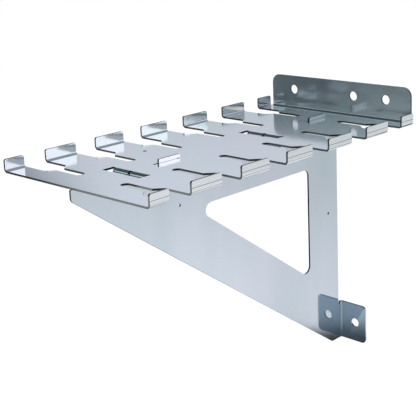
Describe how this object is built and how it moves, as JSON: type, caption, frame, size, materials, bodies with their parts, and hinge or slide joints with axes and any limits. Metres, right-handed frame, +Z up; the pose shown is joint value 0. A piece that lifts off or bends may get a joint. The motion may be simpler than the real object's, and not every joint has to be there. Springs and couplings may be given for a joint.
{
  "type": "wall-mounted clamp rack",
  "caption": "Folded sheet-steel wall rack: a comb plate with slotted edges and upturned lips holds bar clamps, on a triangular hook-in bracket.",
  "frame": {"origin": "on the wall, midway between the two outer screw holes of the comb plate's flange", "axes": "+Y into the wall, so the rack stands out along -Y; +X to the right seen from the room; +Z up"},
  "size_m": [0.203, 0.388, 0.312],
  "materials": {
    "zinc_plated_plate": "bright zinc plate",
    "zinc_plated_bracket": "bright zinc plate"
  },
  "bodies": {
    "root": {"comb_plate": "zinc_plated_plate", "left_lips": "zinc_plated_plate", "right_lips": "zinc_plated_plate", "wall_flange": "zinc_plated_plate", "window_flaps": "zinc_plated_plate", "support_bracket": "zinc_plated_bracket", "bracket_hooks": "zinc_plated_bracket", "foot_tab": "zinc_plated_bracket"}
  },
  "joints": []
}
